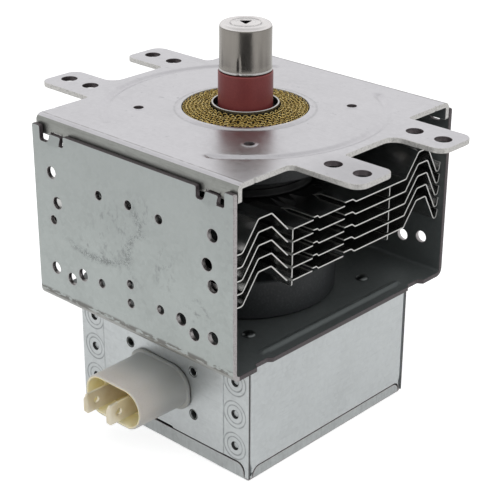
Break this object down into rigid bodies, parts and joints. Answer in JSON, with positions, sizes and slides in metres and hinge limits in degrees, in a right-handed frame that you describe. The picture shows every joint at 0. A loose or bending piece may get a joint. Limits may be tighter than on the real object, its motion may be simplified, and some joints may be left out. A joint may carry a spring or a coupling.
{
  "type": "microwave oven magnetron",
  "caption": "Microwave oven magnetron: steel yoke with cooling fins and ring magnets, capped antenna above a mounting plate, filter box and supply connector below.",
  "frame": {"origin": "middle of the filter box lid's underside, on the tube's axis", "axes": "+Z along the tube's axis towards the antenna cap; -Y towards the supply connector; X along the cooling air's path"},
  "size_m": [0.1256, 0.1089, 0.1213],
  "materials": {
    "plate_zinc": "bright zinc plating",
    "zinc": "dull zinc plating with fine spangle",
    "ferrite": "matt black sintered ferrite",
    "copper": "bright copper",
    "steel": "drawn steel",
    "cap_steel": "polished drawn steel",
    "pink_ceramic": "unglazed dark pink ceramic",
    "white_ceramic": "unglazed white ceramic",
    "brass_mesh": "knitted brass wire",
    "fin_aluminium": "rolled bright aluminium",
    "tungsten": "dark drawn wire",
    "ivory": "ivory moulding",
    "tinned_brass": "dull tin plating"
  },
  "bodies": {
    "root": {"mounting_plate": "plate_zinc", "yoke_frame": "zinc", "upper_magnet": "ferrite", "lower_magnet": "ferrite", "anode_block": "copper", "upper_inner_strap": "copper", "upper_outer_strap": "copper", "lower_inner_strap": "copper", "lower_outer_strap": "copper", "upper_pole_piece": "steel", "lower_pole_piece": "steel", "upper_seal_cup": "steel", "lower_seal_cup": "steel", "antenna_ceramic": "pink_ceramic", "antenna_exhaust_tube": "copper", "antenna_cap": "cap_steel", "antenna_lead": "copper", "rf_gasket": "brass_mesh", "cooling_fin_1": "fin_aluminium", "cooling_fin_2": "fin_aluminium", "cooling_fin_3": "fin_aluminium", "cooling_fin_4": "fin_aluminium", "cooling_fin_5": "fin_aluminium", "cathode_filament": "tungsten", "upper_end_hat": "tungsten", "lower_end_hat": "tungsten", "cathode_centre_lead": "tungsten", "cathode_side_lead": "tungsten", "stem_ceramic": "white_ceramic", "stem_strip_left": "copper", "stem_strip_right": "copper", "choke_coil_left": "copper", "choke_coil_right": "copper", "choke_core_left": "ferrite", "choke_core_right": "ferrite", "filter_box_body": "zinc", "filter_box_front_panel": "zinc", "filter_box_back_panel": "zinc", "filter_box_lid": "zinc", "box_rivet_1": "steel", "box_rivet_2": "steel", "box_rivet_3": "steel", "box_rivet_4": "steel", "capacitor_housing": "ivory", "capacitor_block": "white_ceramic", "capacitor_ground_plate": "steel", "terminal_tab_left": "tinned_brass", "terminal_tab_right": "tinned_brass"}
  },
  "joints": []
}
